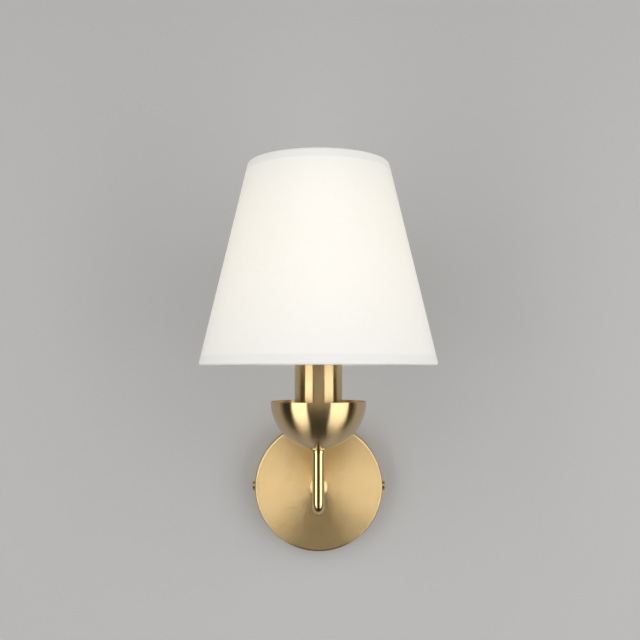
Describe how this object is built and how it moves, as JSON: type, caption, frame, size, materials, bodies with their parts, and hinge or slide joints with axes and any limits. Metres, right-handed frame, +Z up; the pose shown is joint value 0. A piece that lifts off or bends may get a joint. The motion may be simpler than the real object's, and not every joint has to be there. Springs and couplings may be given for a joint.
{
  "type": "fabric shade wall light",
  "caption": "Brass wall light: round backplate, tube arm bent up to a half-round cup and candle sleeve, screw lampholder with bulb, and a tapered fabric shade.",
  "frame": {"origin": "on the wall plane, behind the middle of the round backplate, midway between the wall slots", "axes": "+X to the right seen from the room, +Y into the wall, +Z up along the lamp axis"},
  "size_m": [0.199, 0.2595, 0.3535],
  "materials": {
    "satin_brass": "satin, brushed round",
    "brushed_brass": "brushed round the middle, lacquered",
    "polished_brass": "polished, lacquered",
    "plain_brass": "turned, unlacquered",
    "zinc_steel": "zinc plated",
    "white_wire": "white epoxy coat",
    "shade_cloth": "fine plain weave",
    "liner_film": "matt translucent film",
    "holder_white": "moulded, semi gloss",
    "core_ceramic": "glazed insulating body",
    "contact_bronze": "spring bronze",
    "bulb_opal": "opal white",
    "bulb_body": "moulded white",
    "bulb_cap_metal": "nickel plated",
    "bulb_black": "black insulating glass",
    "board": "white solder resist",
    "block_white": "moulded polyamide",
    "lead_brown": "insulation",
    "lead_blue": "insulation",
    "lead_earth": "green and yellow insulation",
    "bush_black": "moulded"
  },
  "bodies": {
    "fixture": {"backplate": "brushed_brass", "wall_bracket": "zinc_steel", "terminal_block": "block_white", "terminal_inserts": "plain_brass", "terminal_screws": "zinc_steel", "block_screw": "zinc_steel", "earth_screw": "plain_brass", "earth_tag": "zinc_steel", "earth_lead": "lead_earth", "live_lead": "lead_brown", "neutral_lead": "lead_blue", "arm_tube": "polished_brass", "arm_wall_collar": "polished_brass", "arm_backing_washer": "zinc_steel", "arm_lock_washer": "zinc_steel", "arm_nut": "zinc_steel", "arm_end_bush": "bush_black", "arm_cup_collar": "polished_brass", "cup": "satin_brass", "cup_spacer": "plain_brass", "candle_sleeve": "satin_brass", "sleeve_lock_washer": "zinc_steel", "coupling_nut": "plain_brass", "lamp_stem": "zinc_steel", "lampholder_cap": "holder_white", "stem_grub_screw": "zinc_steel", "lampholder_core": "core_ceramic", "centre_contact": "contact_bronze", "socket_shell": "plain_brass", "lampholder_shell": "holder_white"},
    "shade": {"fitter_ring": "white_wire", "fitter_arms": "white_wire", "bottom_ring": "white_wire", "top_ring": "white_wire", "shade_liner": "liner_film", "shade_fabric": "shade_cloth"},
    "shade_ring": {"shade_ring": "holder_white"},
    "bulb": {"bulb_contact": "zinc_steel", "bulb_insulator": "bulb_black", "bulb_cap": "bulb_cap_metal", "bulb_housing": "bulb_body", "led_board": "board", "bulb_diffuser": "bulb_opal"},
    "screw_left": {"side_screw_left": "polished_brass"},
    "screw_right": {"side_screw_right": "polished_brass"}
  },
  "joints": [
    {"name": "shade_turn", "type": "hinge", "parent": "fixture", "child": "shade", "pos_m": [0, -0.16, 0.17], "axis": [0, 0, 1], "continuous": true},
    {"name": "shade_ring_turn", "type": "hinge", "parent": "fixture", "child": "shade_ring", "pos_m": [0, -0.16, 0.174], "axis": [0, 0, 1], "continuous": true},
    {"name": "bulb_turn", "type": "hinge", "parent": "fixture", "child": "bulb", "pos_m": [0, -0.16, 0.17], "axis": [0, 0, 1], "continuous": true},
    {"name": "left_screw_turn", "type": "hinge", "parent": "fixture", "child": "screw_left", "pos_m": [-0.064, -0.011, 0], "axis": [-1, 0, 0], "continuous": true},
    {"name": "right_screw_turn", "type": "hinge", "parent": "fixture", "child": "screw_right", "pos_m": [0.064, -0.011, 0], "axis": [1, 0, 0], "continuous": true}
  ]
}
